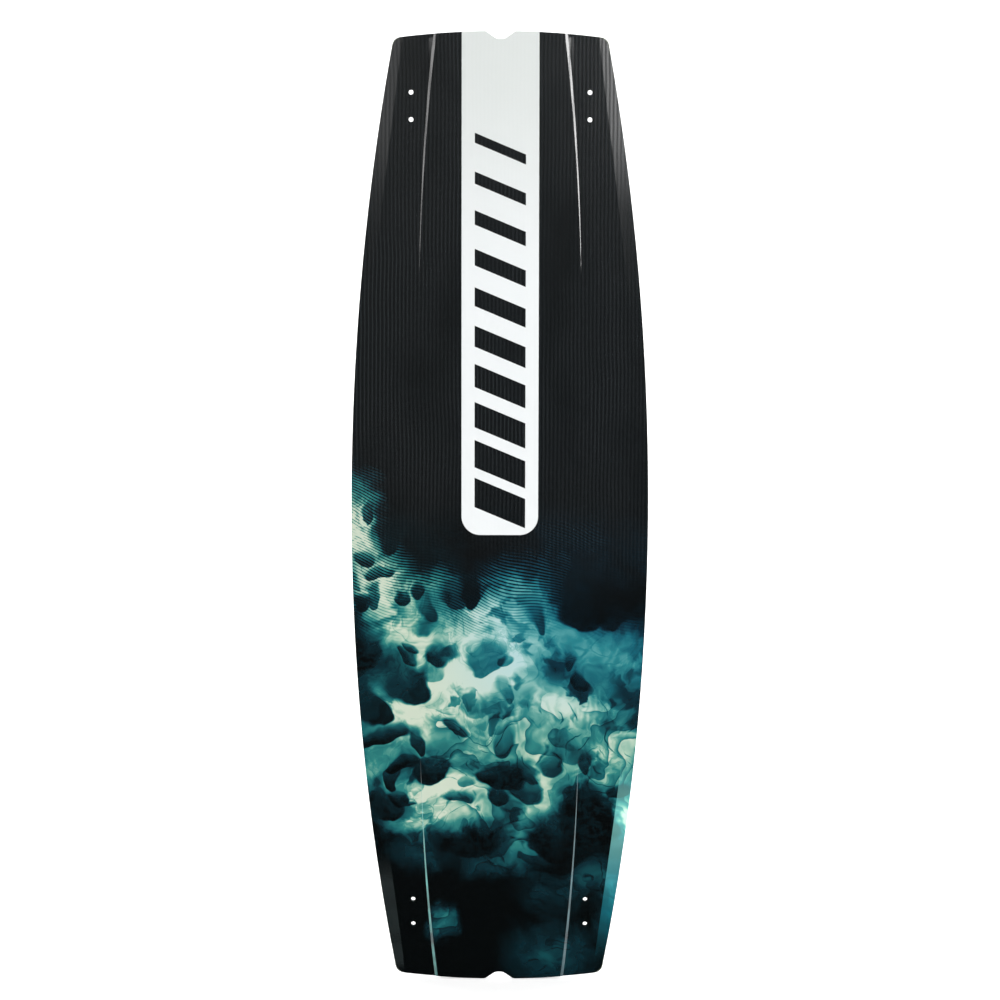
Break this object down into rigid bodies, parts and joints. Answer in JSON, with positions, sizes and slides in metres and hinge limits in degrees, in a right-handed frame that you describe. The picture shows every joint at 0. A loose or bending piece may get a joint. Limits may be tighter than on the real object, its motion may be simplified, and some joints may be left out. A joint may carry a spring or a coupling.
{
  "type": "kiteboard",
  "caption": "Bare twin-tip kiteboard: rockered sandwich board with a wood core, plastic rails, channelled tips, fin holes and threaded deck inserts.",
  "frame": {"origin": "middle of the board's thickness and width at the lowest point of its tail tip, on which it is stood upright", "axes": "+Z along the board from tail to nose, +X across the board, -Y out of the running surface (base) and +Y out of the deck"},
  "size_m": [0.4458, 0.0458, 1.4495],
  "materials": {
    "base_print": "glossy printed sheet, black with a white stripe and teal ink clouds",
    "deck_print": "satin",
    "fibre_laminate": "glass fibre in epoxy",
    "rail_plastic": "satin ABS",
    "core_wood": "planed paulownia",
    "block_wood": "planed hardwood",
    "fin_block_plastic": "machined ABS",
    "insert_metal": "turned stainless steel"
  },
  "bodies": {
    "root": {"base_sheet": "base_print", "core_strip_1": "core_wood", "core_strip_10": "core_wood", "core_strip_2": "core_wood", "core_strip_3": "core_wood", "core_strip_4": "core_wood", "core_strip_5": "core_wood", "core_strip_6": "core_wood", "core_strip_7": "core_wood", "core_strip_8": "core_wood", "core_strip_9": "core_wood", "fin_block_nose_left": "fin_block_plastic", "fin_block_nose_right": "fin_block_plastic", "fin_block_tail_left": "fin_block_plastic", "fin_block_tail_right": "fin_block_plastic", "handle_inserts": "insert_metal", "insert_block_front_left": "block_wood", "insert_block_front_right": "block_wood", "insert_block_handle": "block_wood", "insert_block_rear_left": "block_wood", "insert_block_rear_right": "block_wood", "lower_laminate": "fibre_laminate", "nose_tip_rail": "rail_plastic", "pad_inserts_front": "insert_metal", "pad_inserts_rear": "insert_metal", "rail_left": "rail_plastic", "rail_right": "rail_plastic", "tail_tip_rail": "rail_plastic", "top_sheet": "deck_print", "upper_laminate": "fibre_laminate"}
  },
  "joints": []
}
